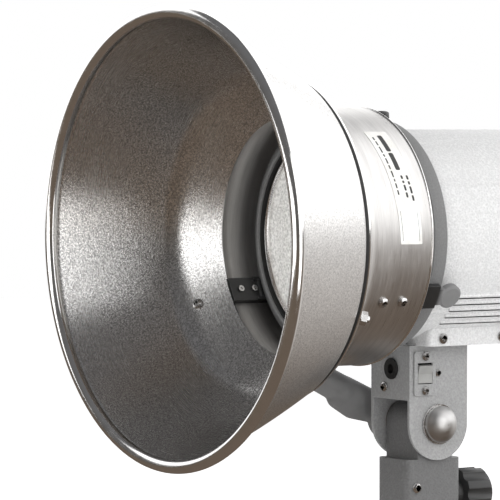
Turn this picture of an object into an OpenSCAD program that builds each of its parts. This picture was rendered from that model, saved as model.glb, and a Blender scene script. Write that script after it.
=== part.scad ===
// Studio flash head on a stand adapter, with its spun reflector and clip-on adapter drum.
// Frame: +Z up, the reflector looks along -Y, +X is the switch side.
// Origin: centre of the stand socket's mouth, on the underside of the stand adapter.

/* [Layout] */
// Height of the tilt axis above the stand socket's mouth
tilt_z = 62; // [58:1:72]
// Height of the lamp's optical axis above the tilt axis
axis_rise = 107; // [104:1:112]
// Distance from the tilt axis forward to the drum's rear edge
drum_back = 45; // [44:1:50]

/* [Reflector] */
// Outside diameter over the rolled rim
rim_d = 254; // [250:1:258]
// Rim plane, measured forward from the drum's rear edge
rim_a = 125.4; // [122:0.5:130]
// Radius of the rolled bead round the rim
bead_r = 3.7; // [3.5:0.1:4.2]
// Radius where the flared wall turns into the back wall
knuckle_r = 92; // [90:0.5:94]
// Place of that turn, forward of the drum's rear edge
knuckle_a = 60.8; // [57:0.1:62]
// Radius of the light opening in the back wall
hole_r = 66.8; // [66.5:0.1:67.5]
// Slope of the flared wall to the optical axis, just ahead of the turn
flare_start = 27.5; // [26:0.5:29]
// Slope of the flared wall to the optical axis, at the rim
flare_end = 21; // [19:0.5:23]
// Sheet thickness of the spun dish
dish_t = 1.2; // [1:0.1:1.5]

/* [Adapter drum] */
// Outside radius of the drum
drum_r = 72.7; // [72:0.1:74]
// Sheet thickness of the drum and its flange
drum_t = 1.5; // [1.2:0.1:1.8]
// Outer radius of the flange behind the dish
flange_r = 91.2; // [90:0.1:92]
// Slope of the flange and the dish's back wall to the optical axis
wall_slope = 59.9; // [58:0.1:62]
// Thickness of the gasket between dish and flange
gasket_t = 1.5; // [1:0.1:2]
// Radius of the sweep from the drum's wall into its flange
sweep_r = 14; // [8:1:15]
// Width of each black clamp block
block_w = 14; // [12:0.5:16]
// Radius of the dish screws' circle
dish_screw_r = 85; // [84:0.5:88]

/* [Lamp head] */
// Outside radius of the dark front ring that the drum slips over
ring_r = 65.9; // [65.5:0.1:66]
// Rear edge of the front ring, behind the drum's rear edge
ring_back = 15.5; // [14:0.5:18]
// Front edge of the front ring, forward of the drum's rear edge
ring_front = 26; // [25:0.5:28]
// Outside radius of the round body
body_r = 60; // [59:0.5:61]
// Length of the round body behind the drum's rear edge
body_len = 118; // [110:1:130]
// Radius of the pebbled front glass
glass_r = 57.9; // [57:0.1:58]

/* [Bracket and stand adapter] */
// Outside width of the yoke under the body
yoke_w = 36.6; // [36:0.2:38]
// Width of each yoke plate, front to back
yoke_d = 41; // [40:0.5:42]
// Thickness of the yoke's sheet
yoke_t = 2; // [1.8:0.1:2.2]
// Radius of the stand socket
socket_r = 8.05; // [8:0.01:8.1]
// Depth of the stand socket
socket_depth = 40; // [36:1:42]
// Width of the stand adapter, side to side
post_w = 30; // [28:0.5:31]
// Depth of the stand adapter, front to back
post_d = 39; // [36:0.5:40]

/* [Moving parts] */
// How far a latch finger swings out, in degrees
finger_swing = 4; // [2:0.5:4]
// How far the reflector slides off, forward
slide_off = 60; // [50:1:70]
// How far the switch rocker tips from one side to the other, in degrees
rocker_swing = 16; // [10:1:18]

/* [Hidden] */
$fn = 96;

// Clearances: two parts that are fixed together, and a shaft that turns in its hole
fixed_gap = 0.02;
run_gap = 0.05;

axis_z = tilt_z + axis_rise;
stations = [-28, -152, 96];

// The dish's back wall runs from the opening to the turn. Distances off it are along its normal.
wall_dir = [sin(wall_slope), cos(wall_slope)];
wall_norm = [-cos(wall_slope), sin(wall_slope)];
hole_a = knuckle_a - (knuckle_r - hole_r) / tan(wall_slope);
gasket_off = -dish_t - fixed_gap;
flange_off = gasket_off - gasket_t - fixed_gap;
nut_off = flange_off - drum_t;

// Colours
aluminium = "#c9c9c7";
bright = "#dedede";
black = "#161616";
crinkle = "#8b8b89";
steel = "#b8b8b8";
brass = "#b89a55";

// ---------------------------------------------------------------- helpers

// Head frame: local Z runs forward along the optical axis from the drum's rear edge, local Y is up
module on_axis() {
    translate([0, -drum_back, axis_z]) rotate([90, 0, 0]) children();
}

// Head frame turned to one station: local X points out from the axis
module at_station(angle) {
    on_axis() rotate([0, 0, angle]) children();
}

// The same part at every station
module at_stations() {
    for (angle = stations) at_station(angle) children();
}

// Shaft or hole along X, centred on the tilt axis
module along_tilt(x0, x1, r) {
    translate([x0, 0, tilt_z]) rotate([0, 90, 0]) cylinder(h = x1 - x0, r = r);
}

// A ring of rectangular section round local Z
module band(r_in, r_out, z0, z1) {
    rotate_extrude() translate([r_in, z0]) square([r_out - r_in, z1 - z0]);
}

// Rectangle with round corners, centred
module round_rect(w, h, r) {
    square([w - 2 * r, h], center = true);
    square([w, h - 2 * r], center = true);
    for (sx = [-1, 1], sy = [-1, 1])
        translate([sx * (w / 2 - r), sy * (h / 2 - r)]) circle(r = r);
}

// Cross-slotted head on the plane z = 0, with its shank below
module pan_screw(head_r, head_h, shank_r, shank_l) {
    slot_w = head_r * 0.26;
    difference() {
        union() {
            cylinder(h = head_h * 0.45, r = head_r);
            translate([0, 0, head_h * 0.45]) cylinder(h = head_h * 0.55, r1 = head_r, r2 = head_r * 0.62);
        }
        for (turn = [0, 90])
            rotate([0, 0, turn])
                translate([-head_r * 0.6, -slot_w / 2, head_h * 0.5]) cube([head_r * 1.2, slot_w, head_h]);
    }
    translate([0, 0, -shank_l]) cylinder(h = shank_l, r = shank_r);
}

// Points along an arc, from angle t0 to t1
function arc(cx, cy, r, t0, t1, n) =
    [for (i = [0 : n]) [cx + r * cos(t0 + (t1 - t0) * i / n), cy + r * sin(t0 + (t1 - t0) * i / n)]];

function reversed(list) = [for (i = [len(list) - 1 : -1 : 0]) list[i]];

// ---------------------------------------------------------------- section of the dish

// A point on the back wall's line, s along it from the opening and off its inner surface by d
function wall_point(s, d) = [hole_r, hole_a] + s * wall_dir + d * wall_norm;

// Distance along the wall to a given radius, on a line off the surface by d
function wall_reach(r, d) = (r - hole_r - d * wall_norm[0]) / wall_dir[0];

// The turn is a round between the back wall and the first direction of the flared wall
turn_r = 7;
turn_start = (knuckle_r - hole_r) / wall_dir[0] - turn_r * tan((wall_slope - flare_start) / 2);
turn_c = wall_point(turn_start, turn_r);
flare_0 = turn_c + turn_r * [cos(flare_start), -sin(flare_start)];

// The flared wall is an arc from there to the neck under the bead
neck = [rim_d / 2 - 2 * bead_r + 0.9, rim_a - 2.6];
flare_r = norm(neck - flare_0) / (2 * sin((flare_start - flare_end) / 2));
bead_c = [rim_d / 2 - bead_r, rim_a];

// A point on the flared wall, off its inner surface by d: the slope falls evenly from first to last
function flare_point(t, d) =
    let (slope = flare_start + (flare_end - flare_start) * t)
    flare_0 + [(flare_r + d) * cos(slope) - flare_r * cos(flare_start),
        flare_r * sin(flare_start) - (flare_r + d) * sin(slope)];

// The dish's line from the opening to the neck, outside its inner surface by d
function dish_line(d) = concat(
    [wall_point(0, -d)],
    arc(turn_c[0], turn_c[1], turn_r + d, -wall_slope, -flare_start, 8),
    [for (i = [1 : 14]) flare_point(i / 14, d)],
    [flare_point(1.008, d)]);

// ---------------------------------------------------------------- reflector and adapter drum

dish_screw_a = hole_a + wall_reach(dish_screw_r, 0) * wall_dir[1];

// Places a fastener on the back wall at a station, its head's seat off the inner surface by d
module on_wall(angle, d) {
    at_station(angle)
        translate([dish_screw_r + d * wall_norm[0], 0, dish_screw_a + d * wall_norm[1]])
            rotate([0, wall_slope - 90, 0]) children();
}

// Clearance holes through everything that the dish screws clamp
module dish_screw_holes() {
    for (angle = stations) on_wall(angle, -8) cylinder(h = 12, r = 2.1);
}

module reflector_dish() {
    color(aluminium) difference() {
        on_axis() {
            rotate_extrude() polygon(concat(dish_line(0), reversed(dish_line(dish_t))));
            difference() {
                rotate_extrude() translate(bead_c) circle(r = bead_r);
                rotate_extrude() translate(bead_c) circle(r = bead_r - 1);
            }
        }
        dish_screw_holes();
    }
}

module rim_wire() {
    color(steel) on_axis() rotate_extrude() translate(bead_c) circle(r = bead_r - 1 - run_gap);
}

gasket_in = 81;

// Dark gasket between the dish and the drum's flange, with its edge showing at the turn
module dish_gasket() {
    color(black) difference() {
        on_axis() rotate_extrude() polygon([
            wall_point(wall_reach(gasket_in, gasket_off), gasket_off),
            wall_point(wall_reach(flange_r, gasket_off), gasket_off),
            wall_point(wall_reach(flange_r, gasket_off - gasket_t), gasket_off - gasket_t),
            wall_point(wall_reach(gasket_in, gasket_off - gasket_t), gasket_off - gasket_t)]);
        dish_screw_holes();
    }
}

hem_r = 0.5;
hem_w = 1.4;

// Brushed drum that sweeps out into its flange, with a turned hem at the rear
module adapter_drum() {
    back_off = flange_off - drum_t;
    corner_a = hole_a + wall_reach(drum_r, back_off) * wall_dir[1] + back_off * wall_norm[1];
    sweep_c = [drum_r + sweep_r, corner_a - sweep_r * tan(wall_slope / 2)];
    color(bright) difference() {
        on_axis() rotate_extrude() polygon(concat(
            [[drum_r - drum_t, 0], [drum_r + hem_r, 0], [drum_r + hem_r, hem_w], [drum_r, hem_w]],
            arc(sweep_c[0], sweep_c[1], sweep_r, 180, 180 - wall_slope, 10),
            [wall_point(wall_reach(flange_r, back_off), back_off),
                wall_point(wall_reach(flange_r, flange_off), flange_off)],
            arc(sweep_c[0], sweep_c[1], sweep_r + drum_t, 180 - wall_slope, 180, 10)));
        dish_screw_holes();
        at_stations() for (a = block_screw_a)
            translate([drum_r - drum_t - 1, 0, a]) rotate([0, 90, 0]) cylinder(h = drum_t + 2, r = 1.6);
    }
}

module dish_screws() {
    color(steel) for (angle = stations) on_wall(angle, 0.05) pan_screw(3, 2, 1.95, 9.6);
}

module dish_washers() {
    color(steel) for (angle = stations)
        on_wall(angle, nut_off - 0.8) difference() {
            cylinder(h = 0.8, r = 4.2);
            translate([0, 0, -1]) cylinder(h = 3, r = 2.1);
        }
}

module dish_nuts() {
    color(steel) for (angle = stations)
        on_wall(angle, nut_off - 0.8 - 3.2) difference() {
            cylinder(h = 3.2, r = 3.9, $fn = 6);
            translate([0, 0, -1]) cylinder(h = 6, r = 2);
        }
}

block_a0 = 2;
block_a1 = hole_a - 1.2;
block_in = 67.6;
block_out = sqrt(pow(drum_r - drum_t, 2) - pow(block_w / 2, 2)) - fixed_gap;
channel_floor = 69.6;
channel_end = 26.9;
block_screw_a = [28, 15];
finger_screw_a = [38.5, 29.2];

// A slab at a station: radii r0 to r1, width w, and from a0 to a1 along the axis
module slab(r0, r1, w, a0, a1) {
    translate([r0, -w / 2, a0]) cube([r1 - r0, w, a1 - a0]);
}

// Each block is screwed inside the drum. Its channel leaves room for the finger to swing.
module clamp_blocks() {
    color(black) at_stations() difference() {
        slab(block_in, block_out, block_w, block_a0, block_a1);
        slab(block_in - 1, channel_floor, block_w - 3, block_a0 - 1, channel_end);
        for (a = block_screw_a)
            translate([channel_floor - 0.1, 0, a]) rotate([0, 90, 0]) cylinder(h = 4, r = 1.3);
        for (a = finger_screw_a)
            translate([block_in - 1, 0, a]) rotate([0, 90, 0]) cylinder(h = 3.2, r = 1.02);
    }
}

module block_screws() {
    color(steel) at_stations() for (a = block_screw_a)
        translate([drum_r + 0.1, 0, a]) rotate([0, 90, 0]) rotate([0, 0, 20 * a])
            pan_screw(2.9, 1.9, 1.28, drum_r - channel_floor - 0.2);
}

module finger_screws() {
    color(steel) at_stations() for (a = finger_screw_a)
        translate([finger_in, 0, a]) rotate([0, -90, 0]) difference() {
            union() {
                cylinder(h = 1.2, r = 1.9);
                translate([0, 0, -2.9]) cylinder(h = 2.9, r = 1);
            }
            translate([0, 0, 0.4]) cylinder(h = 2, r = 0.8);
        }
}

finger_in = 66.2;
finger_t = 1.35;
root_a = 27;
pivot_a = 25.4;
ear_in = 65;
ear_w = 1.8;
bar_t = 3.2;
tab_r = 7;
tab_a = -20;

// A pin across a station, on the line that a finger swings about
module pivot_pin(w, r) {
    translate([finger_in, 0, pivot_a]) rotate([90, 0, 0]) cylinder(h = w, r = r, center = true);
}

// Hinge plates of the three fingers, screwed under the blocks, each with two ears for the finger's pin
module finger_roots() {
    color(black) at_stations() difference() {
        union() {
            slab(finger_in, finger_in + finger_t, block_w, root_a, block_a1);
            for (side = [-1, 1])
                translate([0, side * (block_w - ear_w) / 2, 0])
                    slab(ear_in, finger_in + finger_t, ear_w, pivot_a - 1.3, root_a + 2);
        }
        for (a = finger_screw_a)
            translate([finger_in - 1, 0, a]) rotate([0, 90, 0]) cylinder(h = 4, r = 1.05);
        pivot_pin(block_w + 2, 0.6 + run_gap);
    }
}

// A latch finger: a leaf that turns on its pin, a bar behind the drum and a round tab to press
module latch_finger(angle) {
    color(black) at_station(angle) {
        pivot_pin(block_w - 2 * ear_w - 0.2, 1.2);
        pivot_pin(block_w, 0.6);
        slab(finger_in, finger_in + finger_t, block_w - 4, 1, pivot_a);
        slab(finger_in, finger_in + finger_t, block_w, -4, 1.4);
        slab(finger_in, finger_in + bar_t, block_w, -11.5, -2.5);
        slab(finger_in, finger_in + bar_t, block_w - 4, -17, -11);
        translate([finger_in, 0, tab_a]) rotate([0, 90, 0]) {
            cylinder(h = bar_t, r = tab_r);
            translate([0, 0, bar_t]) cylinder(h = 0.8, r1 = tab_r, r2 = tab_r - 1.2);
        }
    }
}

module latch_finger_right() { latch_finger(stations[0]); }
module latch_finger_left() { latch_finger(stations[1]); }
module latch_finger_top() { latch_finger(stations[2]); }

label_t = 0.25;
label_a = [10, 24];
label_span = [-2, 55];

// Thin data label wrapped part of the way round the drum, with no lettering
module data_label() {
    color("#e6e2d2") on_axis() rotate([0, 0, label_span[0]])
        rotate_extrude(angle = label_span[1] - label_span[0])
            translate([drum_r + 0.01, label_a[0]]) square([label_t, label_a[1] - label_a[0]]);
}

// ---------------------------------------------------------------- front of the lamp head

shelf_a = [10, 13];
seat_r = 59.5;

// Dark turned ring: body socket at the rear, glass seat at the front
module front_ring() {
    color("#3a3a3a") on_axis() rotate_extrude() polygon([
        [body_r + run_gap, -ring_back],
        [ring_r - 1, -ring_back],
        [ring_r, -ring_back + 1],
        [ring_r, ring_front - 2.5],
        [seat_r + 1.4, ring_front],
        [seat_r, ring_front],
        [seat_r, shelf_a[1]],
        [52, shelf_a[1]],
        [52, shelf_a[0]],
        [body_r + run_gap, shelf_a[0]]]);
}

module glass_gasket() {
    color(black) on_axis() {
        rotate_extrude() polygon([
            [54, shelf_a[1]],
            [seat_r, shelf_a[1]],
            [seat_r, ring_front - 1.6],
            [glass_r + 0.4, ring_front - 1.6],
            [glass_r + 0.4, shelf_a[1] + 1.2],
            [54, shelf_a[1] + 1.2]]);
    }
}

glass_a = shelf_a[1] + 1.2;
glass_t = 5.5;
crown_r0 = 55.5;
crown_h = 2.2;

// Slightly crowned moulded glass
module front_glass() {
    color("#d9dcdd") on_axis() translate([0, 0, glass_a]) rotate_extrude() polygon(concat(
        [[0, 0], [glass_r, 0], [glass_r, glass_t], [crown_r0, glass_t]],
        [for (i = [5 : -1 : 0]) [crown_r0 * i / 6, glass_t + crown_h * (1 - i * i / 36)]]));
}

module glass_retainer() {
    color(bright) on_axis() band(55.6, glass_r, glass_a + glass_t + fixed_gap, glass_a + glass_t + 3.4);
}

// ---------------------------------------------------------------- inside the lamp head

shell_t = 1.8;
bulkhead_a = [-12, -9.5];
bulkhead_r = body_r - shell_t - fixed_gap;

// Polished bowl behind the glass
module lamp_bowl() {
    color(bright) on_axis() rotate_extrude() polygon([
        [34, -7],
        [44, -3],
        [51, 9],
        [bulkhead_r - 0.1, 9],
        [bulkhead_r - 0.1, 9.9],
        [50.2, 9.9],
        [43.4, -2.2],
        [34, -6]]);
}

module bulkhead() {
    color(aluminium) on_axis() difference() {
        translate([0, 0, bulkhead_a[0]]) cylinder(h = bulkhead_a[1] - bulkhead_a[0], r = bulkhead_r);
        translate([0, 0, bulkhead_a[0] - 1]) cylinder(h = 6, r = 10);
        for (turn = [45 : 90 : 315])
            rotate([0, 0, turn]) translate([44, 0, bulkhead_a[0] - 1]) cylinder(h = 6, r = 5);
    }
}

tube_ring_r = 22;
tube_r = 4;
tube_a = 4;
sleeve_r = 4.9;
sleeve_turn = 20;

// The two places on the tube's circle where its end sleeves stand
module sleeve_places() {
    for (side = [-1, 1])
        rotate([0, 0, 90 + side * sleeve_turn]) translate([tube_ring_r, 0, bulkhead_a[1] + 1.6]) children();
}

// Ceramic base that carries the flash tube's sleeves and the lamp socket
module tube_holder() {
    color("#efece4") on_axis() difference() {
        translate([0, 0, bulkhead_a[1]]) cylinder(h = 6, r = 33);
        translate([0, 0, bulkhead_a[1] - 1]) cylinder(h = 9, r = 10);
        sleeve_places() translate([0, 0, -0.1]) cylinder(h = 9, r = sleeve_r + run_gap);
    }
}

// Open glass ring standing in two end sleeves
module flash_tube() {
    color("#e3ecef") on_axis() {
        translate([0, 0, tube_a]) rotate([0, 0, 90 + sleeve_turn])
            rotate_extrude(angle = 360 - 2 * sleeve_turn)
            translate([tube_ring_r, 0]) circle(r = tube_r);
        sleeve_places() cylinder(h = tube_a - bulkhead_a[1] + 3.6, r = sleeve_r);
    }
}

module lamp_socket() {
    color("#efece4") on_axis() difference() {
        translate([0, 0, -22]) cylinder(h = 16.5, r = 9.9);
        for (side = [-1, 1]) translate([3 * side, 0, -14]) cylinder(h = 12, r = 0.9);
    }
}

module modelling_lamp() {
    color("#f2f2ec") on_axis() {
        translate([0, 0, -5.4]) cylinder(h = 11, r = 5.5);
        translate([0, 0, 5.6]) sphere(r = 5.5);
        for (side = [-1, 1]) translate([3 * side, 0, -12]) cylinder(h = 7, r = 0.8);
    }
}

louvre_pitch = 3.7;
louvre_a = [-88, -34];

// Round sheet body with cooling slots on both sides and seats for the rear cover's screws
module body_shell() {
    color(crinkle) on_axis() difference() {
        band(body_r - shell_t, body_r, -body_len, shelf_a[0] - 0.1);
        for (side = [-1, 1], row = [0 : 4])
            translate([side * 40, -34 - row * louvre_pitch, 0]) louvre_cut();
        for (turn = [30 : 60 : 330])
            cover_screw_hole(turn, 1.6);
    }
}

// Hole for one of the screws that hold the rear cover in the body
module cover_screw_hole(turn, r) {
    rotate([0, 0, turn]) translate([body_r - 7, 0, 5 - body_len]) rotate([0, 90, 0]) cylinder(h = 9, r = r);
}

// One slot with round ends, wide enough in X to pass the shell's wall
module louvre_cut() {
    for (a = louvre_a)
        translate([-20, 0, a]) rotate([0, 90, 0]) cylinder(h = 40, r = 0.8);
    translate([-20, -0.8, louvre_a[0]]) cube([40, 1.6, louvre_a[1] - louvre_a[0]]);
}

chassis_y = -38;
chassis_w = 2 * sqrt(pow(body_r - shell_t, 2) - pow(chassis_y, 2)) - 0.2;
chassis_a = [-92, -12.1];

module chassis_plate() {
    color(aluminium) on_axis() difference() {
        translate([-chassis_w / 2, chassis_y, chassis_a[0]])
            cube([chassis_w, 1.6, chassis_a[1] - chassis_a[0]]);
        standoff_places() cylinder(h = 20, r = 1.5, center = true);
    }
}

board_y = chassis_y + 1.6 + 6;

module standoff_places() {
    for (x = [-34, 34], a = [-82, -22])
        translate([x, chassis_y, a]) rotate([-90, 0, 0]) children();
}

module board_standoffs() {
    color(brass) on_axis() standoff_places() {
        translate([0, 0, 1.6]) cylinder(h = 6, r = 3, $fn = 6);
        cylinder(h = 7.6 + 1.5, r = 1.45);
    }
}

module trigger_board() {
    color("#2f5d3a") on_axis() difference() {
        translate([-38, board_y, -86]) cube([76, 1.6, 68]);
        standoff_places() cylinder(h = 20, r = 1.5);
    }
}

part_y = board_y + 1.6;

module trigger_coil() {
    color("#7a4a2a") on_axis() translate([22, part_y, -60]) rotate([-90, 0, 0]) {
        cylinder(h = 2, r = 9);
        translate([0, 0, 2]) cylinder(h = 12, r = 7.5);
        translate([0, 0, 14]) cylinder(h = 2, r = 9);
    }
}

module storage_capacitor() {
    color("#27415e") on_axis() translate([-16, part_y + 15, -84]) cylinder(h = 50, r = 15);
}

fan_a = -112;
fan_side = 60;

module fan_frame() {
    color(black) on_axis() translate([0, 0, fan_a]) difference() {
        linear_extrude(height = 15) round_rect(fan_side, fan_side, 5);
        translate([0, 0, 2]) cylinder(h = 20, r = 28);
        difference() {
            translate([0, 0, -1]) cylinder(h = 5, r = 28);
            translate([0, 0, -2]) cylinder(h = 7, r = 12);
            for (turn = [0 : 90 : 270])
                rotate([0, 0, turn + 45]) translate([0, -2, -2]) cube([40, 4, 7]);
        }
        translate([0, 0, -1]) cylinder(h = 20, r = 1.55);
    }
}

// Seven-blade rotor on a steel pin
module fan_rotor() {
    color("#2b2b2b") on_axis() translate([0, 0, fan_a]) {
        translate([0, 0, 2.5]) cylinder(h = 11, r = 11);
        translate([0, 0, 0.5]) cylinder(h = 4, r = 1.5);
        for (blade = [0 : 6])
            rotate([0, 0, blade * 360 / 7]) translate([10, -0.7, 3.5]) rotate([38, 0, 0]) cube([16, 1.4, 9]);
    }
}

cover_len = 20;
cover_a = -body_len - cover_len;

fan_post_at = 25;

// Rear cover: a cup that plugs into the body, with a ring of air slots and four posts for the fan
module rear_cover() {
    color(black) on_axis() for (sx = [-1, 1], sy = [-1, 1])
        translate([sx * fan_post_at, sy * fan_post_at, cover_a + 2])
            cylinder(h = fan_a - cover_a - 2.02, r = 3.5);
    color(black) on_axis() difference() {
        rotate_extrude() polygon([
            [0, cover_a],
            [body_r - 9, cover_a],
            [body_r - 3, cover_a + 3],
            [body_r, cover_a + 9],
            [body_r, -body_len - fixed_gap],
            [body_r - shell_t - fixed_gap, -body_len - fixed_gap],
            [body_r - shell_t - fixed_gap, -body_len + 9],
            [body_r - 4.5, -body_len + 9],
            [body_r - 4.5, cover_a + 8],
            [body_r - 10, cover_a + 2.5],
            [0, cover_a + 2.5]]);
        for (turn = [0 : 15 : 345])
            rotate([0, 0, turn]) translate([9, -0.9, cover_a - 1]) cube([16, 1.8, 6]);
        for (turn = [30 : 60 : 330])
            cover_screw_hole(turn, 1.25);
        translate([0, 38, cover_a - 1]) cylinder(h = 5, r = 4 + run_gap);
        translate([20, 34, cover_a - 1]) cylinder(h = 5, r = 3.02);
        translate([0, -40, cover_a - 1]) cylinder(h = 5, r = 6.02);
    }
}

module cover_screws() {
    color(steel) on_axis() for (turn = [30 : 60 : 330])
        rotate([0, 0, turn]) translate([body_r + 0.05, 0, 5 - body_len]) rotate([0, 90, 0])
            pan_screw(2.8, 1.8, 1.22, 4.4);
}

module ready_lamp() {
    color("#c8281e") on_axis() translate([20, 34, cover_a + 2.52]) rotate([180, 0, 0]) {
        cylinder(h = 3, r = 3);
        translate([0, 0, 3]) cylinder(h = 2, r1 = 3, r2 = 1.8);
        translate([0, 0, -2]) cylinder(h = 2, r = 3.6);
    }
}

module test_button() {
    color("#a6201a") on_axis() translate([0, 38, cover_a]) rotate([180, 0, 0]) {
        translate([0, 0, -2.6]) cylinder(h = 6.6, r = 4);
        translate([0, 0, -4.6]) cylinder(h = 2, r = 5.5);
        translate([0, 0, 4]) cylinder(h = 0.8, r1 = 4, r2 = 3.2);
    }
}

module cable_gland() {
    color(black) on_axis() translate([0, -40, cover_a]) rotate([180, 0, 0]) difference() {
        union() {
            translate([0, 0, -4]) cylinder(h = 4.2, r = 6);
            translate([0, 0, 0.02]) cylinder(h = 5, r = 9, $fn = 6);
            translate([0, 0, 5]) cylinder(h = 12, r1 = 7, r2 = 5.2);
        }
        translate([0, 0, -6]) cylinder(h = 30, r = 4.02);
    }
}

module power_cable() {
    color("#1d1d1d") on_axis() translate([0, -40, cover_a - 52]) cylinder(h = 62, r = 4);
}

// ---------------------------------------------------------------- saddle, yoke and switch

saddle_w = 60;
saddle_y = [-16, 46];
saddle_z = axis_z - 62;

// Block under the body, hollowed to the body's round
module body_saddle() {
    color(crinkle) difference() {
        translate([0, (saddle_y[0] + saddle_y[1]) / 2, saddle_z])
            linear_extrude(height = 10) round_rect(saddle_w, saddle_y[1] - saddle_y[0], 3);
        on_axis() translate([0, 0, -200]) cylinder(h = 300, r = body_r + fixed_gap);
        saddle_screw_places() translate([0, 0, -6]) cylinder(h = 7, r = 1.45);
    }
}

// Side screws of the saddle, their seats on its flanks
module saddle_screw_places() {
    for (side = [-1, 1], y = [-6, 36])
        translate([side * (saddle_w / 2 + fixed_gap), y, saddle_z + 4.3])
            rotate([0, side * 90, 0]) children();
}

module saddle_screws() {
    color(steel) saddle_screw_places() pan_screw(3, 1.9, 1.4, 5.5);
}

web_bottom = tilt_z + 14;
half_w = yoke_w / 2;
half_d = yoke_d / 2;
switch_at = [-10.4, tilt_z + 29.1];
extra_screw_y = -0.7;
web_hole = [1.5, tilt_z + 31.3];
web_screw_at = [-5.2, tilt_z + 20.6];

// Outline of a yoke plate, in Y and Z
module yoke_outline() {
    translate([0, tilt_z]) circle(r = half_d);
    translate([-half_d, tilt_z]) square([yoke_d, saddle_z - fixed_gap - tilt_z]);
}

// Lays a Y-Z outline flat against a plane of constant X, from x0 and t thick
module on_side(x0, t) {
    translate([x0, 0, 0]) rotate([90, 0, 90]) linear_extrude(height = t) children();
}

module yoke_bracket() {
    color("#8e8e8c") difference() {
        union() {
            for (x0 = [-half_w, half_w - yoke_t]) on_side(x0, yoke_t) yoke_outline();
            translate([-half_w, -half_d, saddle_z - yoke_t]) cube([yoke_w, yoke_d, yoke_t - fixed_gap]);
            translate([-half_w, -half_d, web_bottom])
                cube([yoke_w, yoke_t, saddle_z - fixed_gap - web_bottom]);
        }
        along_tilt(-half_w - 1, half_w + 1, 4.05);
        translate([half_w - yoke_t - 1, switch_at[0] - 5.6, switch_at[1] - 6.6])
            cube([yoke_t + 2, 11.2, 13.2]);
        for (dz = [-9.75, 9.75]) switch_hole(switch_at[0], switch_at[1] + dz);
        switch_hole(extra_screw_y, switch_at[1]);
        translate([web_hole[0], 0, web_hole[1]]) rotate([90, 0, 0]) cylinder(h = 30, r = 4.5);
        translate([web_screw_at[0], 0, web_screw_at[1]]) rotate([90, 0, 0]) cylinder(h = 30, r = 1.6);
    }
}

module switch_hole(y, z) {
    translate([half_w - yoke_t - 1, y, z]) rotate([0, 90, 0]) cylinder(h = yoke_t + 4, r = 1.3);
}

module web_grommet() {
    color(black) translate([web_hole[0], -half_d, web_hole[1]]) rotate([90, 0, 0]) difference() {
        union() {
            cylinder(h = 1.2, r = 6);
            translate([0, 0, -yoke_t]) cylinder(h = yoke_t + 0.1, r = 4.5 - fixed_gap);
            translate([0, 0, -yoke_t - 1.2]) cylinder(h = 1.2, r = 6);
        }
        translate([0, 0, -5]) cylinder(h = 10, r = 2.8);
    }
}

module web_screw() {
    color(steel) translate([web_screw_at[0], -half_d - 0.02, web_screw_at[1]]) rotate([90, 0, 0])
        pan_screw(2.8, 1.8, 1.5, 5);
}

bezel_t = 1.2;
case_x = half_w - yoke_t - 12;

module switch_case() {
    color(black) difference() {
        translate([case_x, switch_at[0] - 5.5, switch_at[1] - 6.5]) cube([12 + yoke_t, 11, 13]);
        translate([case_x + 2, switch_at[0] - 5.1, switch_at[1] - 6.1]) cube([20, 10.2, 12.2]);
    }
}

// Rectangular frame round the rocker, on the near plate
module switch_bezel() {
    color("#7b7b79") difference() {
        on_side(half_w + fixed_gap, bezel_t) translate(switch_at) round_rect(15, 25, 1.5);
        translate([half_w - 1, switch_at[0] - 5.2, switch_at[1] - 6]) cube([4, 10.4, 12]);
        for (dz = [-9.75, 9.75]) switch_hole(switch_at[0], switch_at[1] + dz);
    }
}

rocker_x = half_w - 1.5;

// Rocker at rest with its lower half pressed in, on two short pins along Y
module switch_rocker() {
    color("#dcdcd6") translate([rocker_x, switch_at[0], switch_at[1]]) rotate([90, rocker_swing / 2, 0]) {
        linear_extrude(height = 9.8, center = true)
            polygon([[-3, -1.6], [-3, 1.6], [0, 5], [3.6, 5], [2.6, 0], [3.6, -5], [0, -5]]);
        cylinder(h = 10.1, r = 1.1, center = true);
    }
}

module switch_screws() {
    color(steel) {
        for (dz = [-9.75, 9.75])
            translate([half_w + bezel_t + 0.04, switch_at[0], switch_at[1] + dz]) rotate([0, 90, 0])
                pan_screw(2.5, 1.6, 1.2, 5);
        translate([half_w + 0.02, extra_screw_y, switch_at[1]]) rotate([0, 90, 0])
            pan_screw(2.2, 1.4, 1.2, 4);
    }
}

// ---------------------------------------------------------------- tilt joint

washer_t = 1.2;
hub_x = [-half_w - washer_t - 15, -half_w - washer_t - 0.1];
hub_r = 12;
insert_r = 6.5;
disc_t = half_w - yoke_t - post_w / 2 - 0.1;

// Bolt through both plates and the lug, with a hexagon head beyond the handle's hub
module tilt_bolt() {
    color(steel) {
        along_tilt(hub_x[0] - 1, half_w + washer_t + 6, 4);
        translate([hub_x[0] - 5.05, 0, tilt_z]) rotate([0, 90, 0]) cylinder(h = 5, r = 7.5, $fn = 6);
    }
}

dome_x = half_w + washer_t + 0.04;
dome_h = 8;
dome_rim_r = 10.5;
dome_ball_r = (dome_rim_r * dome_rim_r + 6 * 6) / 12;

// Domed nut on the near side
module dome_nut() {
    color("#a2a2a0") translate([dome_x, 0, tilt_z]) rotate([0, 90, 0]) difference() {
        intersection() {
            cylinder(h = dome_h, r = dome_rim_r);
            translate([0, 0, dome_h - dome_ball_r]) sphere(r = dome_ball_r);
        }
        translate([0, 0, -1]) cylinder(h = 7.2, r = 4.02);
    }
}

module tilt_washers() {
    color(steel) for (x0 = [-half_w - washer_t, half_w + 0.02])
        difference() {
            along_tilt(x0, x0 + washer_t - 0.02, 11.5);
            along_tilt(x0 - 1, x0 + 3, 4.05);
        }
}

module friction_discs() {
    color("#3c2e26") for (x0 = [-half_w + yoke_t + 0.02, half_w - yoke_t - 0.02 - disc_t])
        difference() {
            along_tilt(x0, x0 + disc_t, 11.5);
            along_tilt(x0 - 1, x0 + 3, 4.05);
        }
}

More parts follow.
